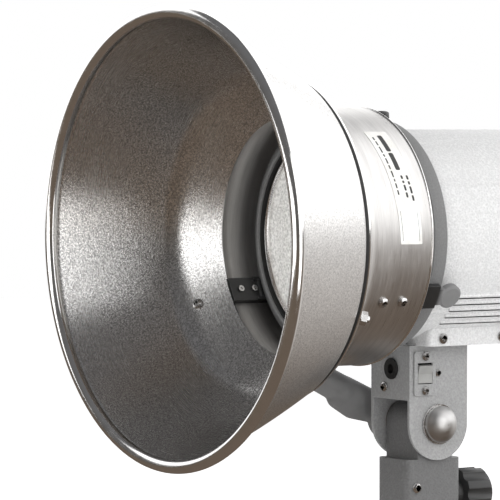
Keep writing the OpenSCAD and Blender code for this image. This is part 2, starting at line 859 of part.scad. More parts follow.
handle_splay = 20;
handle_rise = 28.8;
handle_len = 92;

// Handle frame: local -Y runs out along the grip
module along_grip() {
    translate([(hub_x[0] + hub_x[1]) / 2, 0, tilt_z])
        rotate([0, 0, -handle_splay]) rotate([-handle_rise, 0, 0]) children();
}

// Splayed grip that locks the tilt: a hub, a full heel below and a tapering grip with a round end
module lock_handle() {
    color("#4a4a48") difference() {
        union() {
            along_tilt(hub_x[0], hub_x[1], hub_r);
            along_grip() hull() {
                translate([0, -12, -1.5]) sphere(r = 6.8, $fn = 32);
                translate([0, -24, -5]) sphere(r = 6.8, $fn = 32);
                translate([0, -34, -4]) sphere(r = 6.8, $fn = 32);
                translate([0, -34, 3]) sphere(r = 6.6, $fn = 32);
                translate([0, -14, 3.4]) sphere(r = 6.8, $fn = 32);
            }
            along_grip() hull() {
                translate([0, -34, 0.8]) sphere(r = 8.6, $fn = 32);
                translate([0, -handle_len, 0.8]) sphere(r = 7.6, $fn = 32);
            }
        }
        along_tilt(-half_w - washer_t, 0, 40);
        along_tilt(hub_x[0] - 12, hub_x[0], 8.4);
        along_tilt(hub_x[0] - 1, hub_x[1] + 1, insert_r + fixed_gap);
    }
}

module lock_insert() {
    color(brass) difference() {
        along_tilt(hub_x[0], hub_x[1], insert_r);
        along_tilt(hub_x[0] - 1, hub_x[1] + 1, 4.05);
    }
}

// ---------------------------------------------------------------- stand adapter

post_top = tilt_z - 20;
lug_r = 12;
bushing_r = 10.5;
clamp_z = 20;

module stand_adapter() {
    color("#585856") difference() {
        union() {
            linear_extrude(height = post_top) round_rect(post_w, post_d, 5);
            on_side(-post_w / 2, post_w) {
                translate([0, tilt_z]) circle(r = lug_r);
                translate([-lug_r, post_top - 5]) square([2 * lug_r, 25]);
            }
        }
        along_tilt(-post_w, post_w, 4.05);
        translate([0, 0, -1]) cylinder(h = socket_depth + 1, r = bushing_r + fixed_gap);
        translate([0, 0, clamp_z]) rotate([-90, 0, 0]) cylinder(h = 40, r = 4.05);
        translate([post_w / 2 - 4, -13, 26]) rotate([0, 90, 0]) cylinder(h = 5, r = 1.55);
    }
}

module stand_bushing() {
    color(brass) difference() {
        cylinder(h = socket_depth - fixed_gap, r = bushing_r);
        translate([0, 0, -1]) cylinder(h = socket_depth + 2, r = socket_r);
        translate([0, 0, clamp_z]) rotate([-90, 0, 0]) cylinder(h = 40, r = 4.05);
    }
}

module stop_screw() {
    color(bright) translate([post_w / 2 + 0.02, -13, 26]) rotate([0, 90, 0]) pan_screw(3, 2, 1.5, 3.5);
}

pad_y = [socket_r + 0.3, 12];
screw_y = [12.05, 38];
knob_y = [26, 44];
knob_r = 14;

// A round bar on the clamp screw's axis, from y0 to y1
module along_clamp(y0, y1, r) {
    translate([0, y0, clamp_z]) rotate([-90, 0, 0]) cylinder(h = y1 - y0, r = r);
}

// Brass pad that the clamp screw presses on the stand's stud
module clamp_pad() {
    color(brass) along_clamp(pad_y[0], pad_y[1], 4);
}

module clamp_screw() {
    color(steel) along_clamp(screw_y[0], screw_y[1], 4);
}

// Knob with eight finger scallops
module clamp_knob() {
    color(black) translate([0, knob_y[0], clamp_z]) rotate([-90, 0, 0]) difference() {
        union() {
            cylinder(h = knob_y[1] - knob_y[0] - 2, r = knob_r);
            translate([0, 0, knob_y[1] - knob_y[0] - 2]) cylinder(h = 2, r1 = knob_r, r2 = knob_r - 2);
            translate([0, 0, -4]) cylinder(h = 4, r = 8);
        }
        for (turn = [0 : 45 : 315])
            rotate([0, 0, turn]) translate([knob_r + 2.2, 0, -1]) cylinder(h = 30, r = 4);
        translate([0, 0, -5]) cylinder(h = screw_y[1] - knob_y[0] + 5.1, r = 4.02);
    }
}

reflector_dish();
rim_wire();
dish_gasket();
adapter_drum();
dish_screws();
dish_washers();
dish_nuts();
clamp_blocks();
block_screws();
finger_roots();
finger_screws();
data_label();
latch_finger_right();
latch_finger_left();
latch_finger_top();
front_ring();
glass_gasket();
front_glass();
glass_retainer();
lamp_bowl();
bulkhead();
tube_holder();
flash_tube();
lamp_socket();
modelling_lamp();
body_shell();
chassis_plate();
board_standoffs();
trigger_board();
trigger_coil();
storage_capacitor();
fan_frame();
fan_rotor();
rear_cover();
cover_screws();
ready_lamp();
test_button();
cable_gland();
power_cable();
body_saddle();
saddle_screws();
yoke_bracket();
web_grommet();
web_screw();
switch_case();
switch_bezel();
switch_rocker();
switch_screws();
tilt_bolt();
dome_nut();
tilt_washers();
friction_discs();
lock_handle();
lock_insert();
stand_adapter();
stand_bushing();
stop_screw();
clamp_pad();
clamp_screw();
clamp_knob();
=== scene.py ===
"""Looks for the studio flash head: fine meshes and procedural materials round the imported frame."""
import math

import bmesh
import bpy
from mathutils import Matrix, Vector, noise


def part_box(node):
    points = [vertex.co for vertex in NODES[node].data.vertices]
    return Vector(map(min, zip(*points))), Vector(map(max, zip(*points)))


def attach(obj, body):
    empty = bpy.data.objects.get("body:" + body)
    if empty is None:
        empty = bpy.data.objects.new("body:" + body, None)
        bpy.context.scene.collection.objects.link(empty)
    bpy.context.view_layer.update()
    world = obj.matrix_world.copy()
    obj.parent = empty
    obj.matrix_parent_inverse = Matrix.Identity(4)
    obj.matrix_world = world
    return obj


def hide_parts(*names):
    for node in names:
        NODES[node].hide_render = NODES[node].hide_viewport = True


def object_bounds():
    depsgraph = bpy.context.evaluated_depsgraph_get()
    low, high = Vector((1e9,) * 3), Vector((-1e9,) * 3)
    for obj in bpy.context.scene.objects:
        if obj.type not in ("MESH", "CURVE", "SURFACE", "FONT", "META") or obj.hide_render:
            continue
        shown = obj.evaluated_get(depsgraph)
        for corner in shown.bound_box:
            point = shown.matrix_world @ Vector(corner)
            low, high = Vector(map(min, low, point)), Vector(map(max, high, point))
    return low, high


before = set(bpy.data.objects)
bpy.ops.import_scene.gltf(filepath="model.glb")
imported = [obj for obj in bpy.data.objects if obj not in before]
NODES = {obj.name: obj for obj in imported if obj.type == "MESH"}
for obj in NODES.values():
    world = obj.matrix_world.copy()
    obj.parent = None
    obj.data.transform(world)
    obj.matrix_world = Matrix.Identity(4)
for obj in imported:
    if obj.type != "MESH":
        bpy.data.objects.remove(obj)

CAD_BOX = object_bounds()
MM = 0.001

# ------------------------------------------------------------------ places, from the frame

DRUM_LO, DRUM_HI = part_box("adapter_drum")
REAR_Y = DRUM_HI.y
AXIS_Z = (DRUM_LO.z + DRUM_HI.z) / 2
DISH_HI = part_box("reflector_dish")[1]
RIM_R = DISH_HI.x
BODY_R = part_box("body_shell")[1].x
GLASS_LO, GLASS_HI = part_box("front_glass")
RING_LO, RING_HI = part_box("front_ring")

# Section of the reflector, in the design's terms: radius, and distance ahead of the drum's rear
BEAD_R = 3.7 * MM
KNUCKLE = Vector((92, 60.8)) * MM
HOLE_R = 66.8 * MM
WALL_SLOPE = math.radians(59.9)
FLARE_START = math.radians(27.5)
FLARE_END = math.radians(21)
TURN_IN = 26 * MM
TURN_OUT = 7 * MM
DISH_T = 1.2 * MM
DRUM_R = 72.7 * MM
DRUM_T = 1.5 * MM
SWEEP_R = 14 * MM
FLANGE_R = 91.2 * MM
GASKET_INNER_R = 81 * MM
GASKET_T = 1.5 * MM
HEM_R = 0.75 * MM
GAP = 0.02 * MM
BEAD_C = Vector((RIM_R - BEAD_R, REAR_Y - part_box("reflector_dish")[0].y - BEAD_R))

WALL_DIR = Vector((math.sin(WALL_SLOPE), math.cos(WALL_SLOPE)))
WALL_NORM = Vector((-math.cos(WALL_SLOPE), math.sin(WALL_SLOPE)))
HOLE = Vector((HOLE_R, KNUCKLE.y - (KNUCKLE.x - HOLE_R) / math.tan(WALL_SLOPE)))

# The head's ring, glass and louvres. Grooves and louvres are placed behind the drum's rear edge.
SEAT_R = 59.5 * MM
SHELF_R = 52 * MM
SHELF_T = 3 * MM
RING_CLEARANCE = 0.05 * MM
GROOVE_DEPTH = 0.5 * MM
GLASS_CROWN = 2.2 * MM
GLASS_FIELD = 0.958
GLASS_EDGE = 0.995
GLASS_RELIEF = 0.5 * MM
PEBBLE_SIZE = 2.6 * MM
LOUVRE_ROWS = 5
LOUVRE_TOP = -33 * MM
LOUVRE_PITCH = 3.7 * MM
LOUVRE_START = 33 * MM
LOUVRE_LENGTH = 57 * MM
LOUVRE_R = 1.15 * MM

# Facets round the axis, and the angle above which an edge stays sharp
SEGMENTS = 288
FINE_SEGMENTS = 360
SHARP_ANGLE = 32


def on_axis(radius, angle, forward):
    """Row-frame point from its radius, angle from +X and distance ahead of the drum's rear."""
    return Vector((radius * math.cos(angle), REAR_Y - forward, AXIS_Z + radius * math.sin(angle)))


# ------------------------------------------------------------------ mesh helpers


def sharpen(mesh, degrees):
    """Smooth shading everywhere, with edges above the angle kept sharp."""
    work = bmesh.new()
    work.from_mesh(mesh)
    limit = math.radians(degrees)
    for face in work.faces:
        face.smooth = True
    for edge in work.edges:
        edge.smooth = len(edge.link_faces) == 2 and edge.calc_face_angle(0) < limit
    work.to_mesh(mesh)
    work.free()


def add_mesh(name, verts, faces, body, materials, sharp=SHARP_ANGLE):
    """A new piece that rides on a body."""
    mesh = bpy.data.meshes.new(name)
    mesh.from_pydata([tuple(v) for v in verts], [], faces)
    mesh.validate()
    work = bmesh.new()
    work.from_mesh(mesh)
    bmesh.ops.recalc_face_normals(work, faces=work.faces)
    work.to_mesh(mesh)
    work.free()
    sharpen(mesh, sharp)
    piece = bpy.data.objects.new(name, mesh)
    bpy.context.scene.collection.objects.link(piece)
    for material in materials:
        mesh.materials.append(material)
    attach(piece, body)
    return piece


def arc(centre, radius, start, end, steps):
    """Points of an arc in a section, from one angle to another in degrees."""
    turn = [math.radians(start + (end - start) * i / steps) for i in range(steps + 1)]
    return [centre + radius * Vector((math.cos(t), math.sin(t))) for t in turn]


def lathe(name, section, body, materials, zones=None, segments=SEGMENTS):
    """Revolves a closed section round the optical axis.

    zones gives a material index for each edge of the section.
    """
    count = len(section)
    verts = [on_axis(p.x, 2 * math.pi * s / segments, p.y)
             for s in range(segments) for p in section]
    faces = []
    for s in range(segments):
        here, there = s * count, (s + 1) % segments * count
        for i in range(count):
            j = (i + 1) % count
            faces.append((here + i, here + j, there + j, there + i))
    piece = add_mesh(name, verts, faces, body, materials)
    if zones:
        for index, polygon in enumerate(piece.data.polygons):
            polygon.material_index = zones[index % count]
    return piece


def rounded(corners, radius, steps=4):
    """A section's corners, each replaced by a small round."""
    points = []
    count = len(corners)
    for i, corner in enumerate(corners):
        before = (corners[i - 1] - corner).normalized()
        after = (corners[(i + 1) % count] - corner).normalized()
        half = math.acos(max(-1, min(1, before.dot(after)))) / 2
        reach = min(radius / math.tan(half), (corners[i - 1] - corner).length * 0.45,
                    (corners[(i + 1) % count] - corner).length * 0.45)
        a, b = corner + before * reach, corner + after * reach
        for k in range(steps + 1):
            t = k / steps
            points.append(a * (1 - t) ** 2 + corner * 2 * t * (1 - t) + b * t ** 2)
    return points


# ------------------------------------------------------------------ material graphs


class Graph:
    """A material's nodes, with a short call for each kind that the finishes use."""

    def __init__(self, name):
        self.material = bpy.data.materials.new(name)
        self.material.use_nodes = True
        self.tree = self.material.node_tree
        self.tree.nodes.clear()
        self.bsdf = self.add("ShaderNodeBsdfPrincipled")
        output = self.add("ShaderNodeOutputMaterial")
        self.tree.links.new(self.bsdf.outputs[0], output.inputs[0])
        self.place = self.add("ShaderNodeTexCoord").outputs["Object"]

    def add(self, kind, inputs=None, **settings):
        node = self.tree.nodes.new(kind)
        for key, value in settings.items():
            setattr(node, key, value)
        for key, value in (inputs or {}).items():
            self.feed(node.inputs[key], value)
        return node

    def feed(self, socket, value):
        if isinstance(value, bpy.types.NodeSocket):
            self.tree.links.new(value, socket)
        else:
            socket.default_value = value

    def shade(self, **values):
        for key, value in values.items():
            socket = key.replace("_", " ").title().replace("Ior", "IOR")
            self.feed(self.bsdf.inputs[socket], value)
        return self.material

    def math(self, operation, a, b=0.0):
        return self.add("ShaderNodeMath", {0: a, 1: b}, operation=operation).outputs[0]

    def noise(self, scale, detail=2.0, rough=0.5, place=None):
        inputs = {"Vector": place or self.place, "Scale": scale,
                  "Detail": detail, "Roughness": rough}
        return self.add("ShaderNodeTexNoise", inputs).outputs[0]

    def cells(self, scale, place):
        """Distance to soft-edged cells."""
        inputs = {"Vector": place, "Scale": scale}
        return self.add("ShaderNodeTexVoronoi", inputs, feature="SMOOTH_F1").outputs["Distance"]

    def spread(self, value, low, high, to_low=0.0, to_high=1.0):
        inputs = {"Value": value, "From Min": low, "From Max": high,
                  "To Min": to_low, "To Max": to_high}
        return self.add("ShaderNodeMapRange", inputs).outputs[0]

    def mix(self, share, a, b):
        node = self.add("ShaderNodeMix", data_type="RGBA")
        self.feed(node.inputs["Factor"], share)
        self.feed(node.inputs["A"], (*a, 1) if isinstance(a, tuple) else a)
        self.feed(node.inputs["B"], (*b, 1) if isinstance(b, tuple) else b)
        return node.outputs["Result"]

    def bump(self, height, depth):
        inputs = {"Height": height, "Distance": depth, "Strength": 1.0}
        return self.add("ShaderNodeBump", inputs).outputs[0]

    def axes(self):
        node = self.add("ShaderNodeSeparateXYZ", {0: self.place})
        return node.outputs[0], node.outputs[1], node.outputs[2]

    def stretched(self, x, y, z, source=None):
        """The place scaled by axis, for brushed and drawn marks."""
        inputs = {"Vector": source or self.place, "Scale": (x, y, z)}
        return self.add("ShaderNodeMapping", inputs).outputs[0]

    def round_place(self):
        """Angle round the optical axis, distance along it and radius; the seam is at the bottom."""
        x, y, z = self.axes()
        up = self.math("SUBTRACT", z, AXIS_Z)
        squares = self.math("ADD", self.math("MULTIPLY", x, x), self.math("MULTIPLY", up, up))
        radius = self.math("SQRT", squares)
        angle = self.math("ARCTAN2", x, up)
        return self.add("ShaderNodeCombineXYZ", {0: angle, 1: y, 2: radius}).outputs[0]

    def edge_wear(self, reach):
        """1 on convex and concave edges, 0 on flats."""
        soft = self.add("ShaderNodeBevel", {"Radius": reach}, samples=4).outputs[0]
        plain = self.add("ShaderNodeNewGeometry").outputs["Normal"]
        match = self.add("ShaderNodeVectorMath", {0: soft, 1: plain}, operation="DOT_PRODUCT")
        return self.spread(match.outputs["Value"], 0.995, 0.86)


def grey(value, warm=0.0):
    """A near-grey colour: warm shifts it a little towards brown."""
    return (value * (1 + warm), value, value * (1 - warm))


def spun_metal(name, tone, rough, grain, depth, contrast):
    """Satin spun aluminium: orange-peel speckle, faint turning lines and uneven sheen."""
    g = Graph(name)
    peel = g.noise(grain, 2, 0.55)
    tooth = g.noise(grain * 2.3, 2, 0.6)
    speck = g.math("ADD", g.math("MULTIPLY", peel, 0.6), g.math("MULTIPLY", tooth, 0.4))
    cloud = g.noise(22, 3)
    lines = g.noise(1, 2, place=g.stretched(3, 1800, 1800, g.round_place()))
    colour = g.mix(g.spread(speck, 0.38, 0.62),
                   grey(tone * (1 - contrast), 0.012), grey(tone * (1 + contrast), 0.012))
    roughness = g.math("ADD", g.spread(cloud, 0.3, 0.7, rough - 0.04, rough + 0.04),
                       g.spread(lines, 0.3, 0.7, -0.02, 0.02))
    height = g.math("ADD", speck, g.math("MULTIPLY", lines, 0.02))
    return g.shade(base_color=colour, metallic=1.0, roughness=roughness,
                   normal=g.bump(height, depth))


def brushed_metal(name, tone, rough):
    """Sheet brushed round the axis: long fine streaks, smudges and an anisotropic sheen."""
    g = Graph(name)
    place = g.round_place()
    fine = g.noise(1, 3, 0.6, g.stretched(5, 2600, 2600, place))
    broad = g.noise(1, 2, 0.5, g.stretched(1.5, 320, 320, place))
    smudge = g.noise(30, 3)
    tone_mix = g.math("ADD", g.math("MULTIPLY", fine, 0.6), g.math("MULTIPLY", broad, 0.4))
    colour = g.mix(g.spread(tone_mix, 0.32, 0.68),
                   grey(tone * 0.8, 0.02), grey(tone * 1.12, 0.015))
    roughness = g.math("ADD", g.spread(fine, 0.3, 0.7, rough - 0.07, rough + 0.07),
                       g.spread(smudge, 0.4, 0.7, 0, 0.06))
    tangent = g.add("ShaderNodeTangent", direction_type="RADIAL", axis="Y").outputs[0]
    return g.shade(base_color=colour, metallic=1.0, roughness=roughness, anisotropic=0.55,
                   tangent=tangent, normal=g.bump(fine, 0.00003))


def polished_metal(name, tone, rough, scale=160):
    """Bright turned or plated metal with faint wear."""
    g = Graph(name)
    cloud = g.noise(scale, 4, 0.6)
    scratch = g.noise(1, 3, 0.7, g.stretched(4000, 300, 900))
    colour = g.mix(cloud, grey(tone * 0.9, 0.01), grey(tone * 1.05, 0.01))
    roughness = g.math("ADD", g.spread(cloud, 0.3, 0.7, rough * 0.7, rough * 1.3),
                       g.spread(scratch, 0.55, 0.75, 0, 0.08))
    return g.shade(base_color=colour, metallic=1.0, roughness=roughness,
                   normal=g.bump(scratch, 0.000012))


def crinkle_paint(name, tone, rough=0.5, warm=0.0, size=950, depth=0.00022):
    """Wrinkle-finish paint: a net of soft ridges, with painted shade darkening the hollows, and worn
    edges.
    """
    g = Graph(name)
    warp = g.add("ShaderNodeTexNoise", {"Vector": g.place, "Scale": size * 0.4, "Detail": 2.0})
    offset = g.add("ShaderNodeVectorMath", {0: warp.outputs["Color"], 3: 1.2 / size},
                   operation="SCALE").outputs[0]
    bent = g.add("ShaderNodeVectorMath", {0: g.place, 1: offset}, operation="ADD").outputs[0]
    net = g.cells(size, bent)
    fine = g.noise(size * 1.8, 3)
    cloud = g.noise(26, 3)
    height = g.math("ADD", net, g.math("MULTIPLY", fine, 0.35))
    # Painted shade: the colour follows the relief, darker in the net's hollows and lighter on its
    # ridges.
    low, high = grey(tone * 0.86, warm), grey(tone * 1.1, warm)
    base = g.mix(g.spread(height, 0.35, 0.95), low, high)
    base = g.mix(g.spread(cloud, 0.35, 0.65, 0, 0.2), base, grey(tone * 0.9, warm))
    worn = grey(min(0.9, tone * 1.6 + 0.05), warm)
    base = g.mix(g.math("MULTIPLY", g.edge_wear(0.0006), 0.35), base, worn)
    return g.shade(base_color=base, roughness=g.spread(fine, 0.3, 0.7, rough - 0.08, rough + 0.08),
                   specular_ior_level=0.4, normal=g.bump(height, depth))


def satin_black(name, tone=0.018, rough=0.38, wear=0.25):
    """Black anodised or blackened metal, with fine tooth and bright worn edges."""
    g = Graph(name)
    tooth = g.noise(2400, 2)
    cloud = g.noise(90, 3)
    base = g.mix(g.spread(cloud, 0.3, 0.7), grey(tone * 0.8), grey(tone * 1.5))
    base = g.mix(g.math("MULTIPLY", g.edge_wear(0.0003), wear), base, grey(0.42))
    return g.shade(base_color=base, roughness=g.spread(cloud, 0.3, 0.7, rough - 0.06, rough + 0.08),
                   specular_ior_level=0.55, normal=g.bump(tooth, 0.00003))


def moulded(name, colour, rough=0.45, grain=1600, depth=0.00004, coat=0.0):
    """Moulded plastic or rubber with a fine skin and faint mottling."""
    g = Graph(name)
    skin = g.noise(grain, 2)
    cloud = g.noise(70, 3)
    dark = tuple(c * 0.85 for c in colour)
    light = tuple(min(1, c * 1.12 + 0.004) for c in colour)
    base = g.mix(g.spread(cloud, 0.3, 0.7), dark, light)
    worn = tuple(min(1, c * 1.5 + 0.06) for c in colour)
    base = g.mix(g.math("MULTIPLY", g.edge_wear(0.0004), 0.18), base, worn)
    return g.shade(base_color=base, roughness=g.spread(skin, 0.3, 0.7, rough - 0.06, rough + 0.06),
                   coat_weight=coat, normal=g.bump(skin, depth))


def frosted_glass(name):
    """Milky hammered glass: broad relief is in the mesh, fine pebbles are in the surface; a faint
    painted glow brightens it, though the glass is no lamp.
    """
    g = Graph(name)
    pebble = g.noise(720, 2, 0.5)
    tooth = g.noise(1500, 3)
    height = g.math("ADD", pebble, g.math("MULTIPLY", tooth, 0.3))
    base = g.mix(g.spread(pebble, 0.36, 0.62), (0.66, 0.65, 0.625), (1.0, 0.99, 0.96))
    return g.shade(base_color=base, roughness=g.spread(tooth, 0.3, 0.7, 0.14, 0.28), ior=1.5,
                   transmission_weight=0.08, specular_ior_level=0.8,
                   coat_weight=0.6, coat_roughness=0.1,
                   # Painted glow: the glass emits its own colour, brighter on the pebbles, so it
                   # looks lit from within.
                   emission_color=base, emission_strength=0.16,
                   normal=g.bump(height, 0.0006))


def clear_glass(name):
    """Clear glass with a faint streak, for the tube and the lamp."""
    g = Graph(name)
    streak = g.noise(300, 2)
    return g.shade(base_color=g.mix(streak, (0.9, 0.94, 0.95), (0.97, 0.98, 0.98)), ior=1.46,
                   roughness=g.spread(streak, 0.3, 0.7, 0.02, 0.08), transmission_weight=0.9)


def latch_finish(name):
    """Blackened spring steel whose round end is dipped in grey plastic."""
    g = Graph(name)
    along = g.axes()[1]
    dipped = g.spread(along, REAR_Y + 11.4 * MM, REAR_Y + 14 * MM)
    cloud = g.noise(120, 3)
    black = g.mix(cloud, grey(0.012), grey(0.03))
    tip = g.mix(cloud, grey(0.17), grey(0.23))
    base = g.mix(dipped, black, tip)
    base = g.mix(g.math("MULTIPLY", g.edge_wear(0.0003), 0.3), base, grey(0.4))
    return g.shade(base_color=base, roughness=g.spread(dipped, 0, 1, 0.36, 0.55),
                   specular_ior_level=0.5, normal=g.bump(g.noise(2000, 2), 0.00003))


SPUN_IN = spun_metal("spun_inside", 0.72, 0.25, 1050, 0.00008, 0.5)
SPUN_OUT = spun_metal("spun_outside", 0.72, 0.36, 1050, 0.0001, 0.26)
SPUN_PLAIN = spun_metal("sheet_aluminium", 0.68, 0.4, 1300, 0.00004, 0.06)
BEAD = polished_metal("polished_bead", 0.86, 0.14)
BRUSHED = brushed_metal("brushed_drum", 0.72, 0.33)
DRUM_IN = brushed_metal("drum_inside", 0.6, 0.56)
BRIGHT = polished_metal("bright_edge", 0.86, 0.14)
STEEL = polished_metal("steel_hardware", 0.66, 0.24, 420)
DOME = polished_metal("satin_nickel", 0.6, 0.44, 300)
BRASS = polished_metal("brass", 0.6, 0.28, 300)
BLACK = satin_black("black_anodised")
LATCH = latch_finish("latch_finish")
RING = crinkle_paint("ring_paint", 0.2, 0.5, 0, 1500, 0.00006)
CRINKLE = crinkle_paint("body_paint", 0.74)
YOKE = crinkle_paint("yoke_paint", 0.36, 0.52)
# Painted shade: the stand adapter's crinkle paint takes the dark tone of its shaded front face, not
# its lighter own grey.
ADAPTER = crinkle_paint("adapter_crinkle_painted_shade", 0.16, 0.5)
HANDLE = moulded("handle_plastic", grey(0.19), 0.5, 1200, 0.00008)
KNOB = moulded("knob_plastic", grey(0.03), 0.42)
RUBBER = moulded("black_rubber", grey(0.012), 0.6, 2000, 0.00005)
COVER = crinkle_paint("cover_paint", 0.3, 0.5)
PALE = moulded("rocker_plastic", (0.34, 0.34, 0.33), 0.35, 1800, 0.00002, 0.2)
RED = moulded("red_plastic", (0.5, 0.03, 0.02), 0.2, 1800, 0.00001, 0.6)
LABEL = moulded("label_film", (0.97, 0.95, 0.9), 0.3, 2200, 0.00001, 0.5)
INK = moulded("label_ink", grey(0.02), 0.4)
FRONT_GLASS = frosted_glass("pebbled_glass")
CLEAR = clear_glass("clear_glass")
CERAMIC = moulded("ceramic", (0.82, 0.8, 0.74), 0.4, 900, 0.00006)
BOARD = moulded("circuit_board", (0.03, 0.16, 0.06), 0.35, 900, 0.00003, 0.4)
SLEEVE = moulded("capacitor_sleeve", (0.03, 0.07, 0.2), 0.25, 1200, 0.00001, 0.5)
COPPER = moulded("copper_winding", (0.45, 0.2, 0.08), 0.35, 2600, 0.00008)
FIBRE = moulded("friction_fibre", (0.1, 0.07, 0.05), 0.8, 1500, 0.0001)

# ------------------------------------------------------------------ section of the dish

WALL_LENGTH = (KNUCKLE.x - HOLE_R) / WALL_DIR.x
NECK = BEAD_C + Vector((-BEAD_R + 0.9 * MM, -2.6 * MM))


def wall_point(radius, off):
    """The point at a radius on the line that lies off the back wall's inner surface."""
    start = HOLE + WALL_NORM * off
    return start + WALL_DIR * ((radius - start.x) / WALL_DIR.x)


def dish_line(off, turn_r, steps=40):
    """The line from the opening to the neck, outside the inner surface by off.

    turn_r is the round between the back wall and the flare.
    """
    turn_at = WALL_LENGTH - turn_r * math.tan((WALL_SLOPE - FLARE_START) / 2)
    centre = HOLE + WALL_DIR * turn_at + WALL_NORM * turn_r
    flare = centre + turn_r * Vector((math.cos(FLARE_START), -math.sin(FLARE_START)))
    reach = (NECK - flare).length / (2 * math.sin((FLARE_START - FLARE_END) / 2))
    wall = [HOLE - WALL_NORM * off + WALL_DIR * turn_at * k / 10 for k in range(10)]
    turn = arc(centre, turn_r + off, -math.degrees(WALL_SLOPE), -math.degrees(FLARE_START), 20)
    line = wall + turn
    for k in range(1, steps + 1):
        slope = FLARE_START + (FLARE_END - FLARE_START) * k / steps
        across = (reach + off) * math.cos(slope) - reach * math.cos(FLARE_START)
        ahead = reach * math.sin(FLARE_START) - (reach + off) * math.sin(slope)
        line.append(flare + Vector((across, ahead)))
    return line


def build_dish():
    """Spun dish with its rolled rim: one closed skin, finished inside, outside and on the bead."""
    inner = dish_line(0, TURN_IN)
    bead = arc(BEAD_C, BEAD_R, 221, -112, 56)
    tuck = [BEAD_C + Vector((-1.2, -2.9)) * MM]
    outer = dish_line(DISH_T, TURN_OUT)[-2::-1]
    points = inner + bead + tuck + outer
    zones = [0] * len(inner) + [1] * (len(bead) + len(tuck)) + [2] * (len(outer) - 1) + [1]
    dish = lathe("dish", points, "reflector", [SPUN_IN, BEAD, SPUN_OUT], zones, FINE_SEGMENTS)
    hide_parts("reflector_dish")


def build_gasket():
    """Black edging that shows as a thin line between the dish and the drum's flange."""
    front, back = -DISH_T - GAP, -DISH_T - GAP - GASKET_T
    outer_r = FLANGE_R + 0.5 * MM
    corners = [wall_point(GASKET_INNER_R, front), wall_point(outer_r, front),
               wall_point(outer_r, back), wall_point(GASKET_INNER_R, back)]
    gasket = lathe("gasket", rounded(corners, 0.4 * MM), "reflector", [RUBBER])
    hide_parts("dish_gasket")


def build_drum():
    """Brushed drum with a bright rolled hem, a sweep into the flange and the flange's bare edge."""
    front_off = -DISH_T - GASKET_T - 2 * GAP
    back_off = front_off - DRUM_T
    corner = wall_point(DRUM_R, back_off)
    slope = math.degrees(WALL_SLOPE)
    sweep_c = Vector((DRUM_R + SWEEP_R, corner.y - SWEEP_R * math.tan(WALL_SLOPE / 2)))
    hem = arc(Vector((DRUM_R - 0.15 * MM, HEM_R)), HEM_R, 200, 450, 12)
    wall_start = 1.6 * MM
    wall = [Vector((DRUM_R, wall_start + (sweep_c.y - wall_start) * k / 6)) for k in range(7)]
    sweep_out = arc(sweep_c, SWEEP_R, 180, 180 - slope, 14)
    edge = [wall_point(FLANGE_R - 0.3 * MM, back_off), wall_point(FLANGE_R, back_off + 0.3 * MM),
            wall_point(FLANGE_R, front_off - 0.3 * MM), wall_point(FLANGE_R - 0.3 * MM, front_off)]
    sweep_in = arc(sweep_c, SWEEP_R + DRUM_T, 180 - slope, 180, 14)
    end = [Vector((DRUM_R - DRUM_T, 1.2 * MM))]
    points = hem + wall + sweep_out + edge + sweep_in + end
    zones = ([1] * len(hem) + [0] * (len(wall) + len(sweep_out))
             + [1] * len(edge) + [2] * (len(sweep_in) + len(end)))
    drum = lathe("drum", points, "reflector", [BRUSHED, BRIGHT, DRUM_IN], zones, FINE_SEGMENTS)
    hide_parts("adapter_drum")


# ------------------------------------------------------------------ label

LABEL_R = DRUM_R + GAP
LABEL_SLANT = 0.053
LABEL_MIDDLE = math.radians(25.7) * LABEL_R
LABEL_LENGTH = math.radians(55.4) * LABEL_R
LABEL_WIDTH = 14.6 * MM
LABEL_T = 0.22 * MM
LABEL_CORNER = 0.8 * MM
INK_R = LABEL_R + 0.215 * MM
INK_T = 0.03 * MM

# In mm: the label's middle ahead of the drum's rear, the gap between dashes, and the printed rows.
# A row has its start from the label's top, its distance ahead of the middle, thickness and dashes.
LABEL_FORWARD = 17
DASH_GAP = 1.0
PRINT = (
    (3.2, -0.8, 3.1, (12.5, 11.5)),
    (4.6, 4.2, 0.95, (2.4, 3.2, 4.4, 1.8, 3.6, 2.6, 4.0, 1.6, 3.0, 2.8)),
    (31.5, -1.3, 1.35, (2.2, 1.5, 3.4, 3.0)),
    (31.5, -4.9, 1.35, (2.6, 2.0, 4.2, 3.2)),
    (52.0, 5.6, 0.22, (16.5,)),
    (52.0, -5.6, 0.22, (16.5,)),
)


def wrapped_plate(centre, size, radius, thick, corner, verts, faces):
    """Adds a plate with round corners, wrapped on the drum.

    centre and size are (arc length, axial) in metres.
    """
    rows = max(4, int(size[0] / (1.2 * MM)))
    half = size[0] / 2
    stations = [-half + size[0] * k / rows for k in range(rows + 1)]
    stations = sorted(set(stations + [sign * (half - corner * (1 - math.sin(math.pi / 2 * k / 4)))
                                      for sign in (-1, 1) for k in range(4)]))
    base = len(verts)
    for height in (radius, radius + thick):
        for u in stations:
            inset = max(0.0, abs(u) - (half - corner))
            reach = size[1] / 2 - corner + math.sqrt(max(0.0, corner ** 2 - inset ** 2))
            slant = LABEL_SLANT * (centre[0] + u - LABEL_MIDDLE)
            for side in (-1, 1):
                verts.append(on_axis(height, (centre[0] + u) / radius,
                                     centre[1] + slant + side * reach))
    count = len(stations) * 2
    for k in range(len(stations) - 1):
        a, b, c, d = base + 2 * k, base + 2 * k + 1, base + 2 * k + 3, base + 2 * k + 2
        faces.append((a, b, c, d))
        faces.append((a + count, d + count, c + count, b + count))
        faces.append((a, d, d + count, a + count))
        faces.append((b, b + count, c + count, c))
    faces.append((base, base + count, base + count + 1, base + 1))
    last = base + count - 2
    faces.append((last, last + 1, last + 1 + count, last + count))


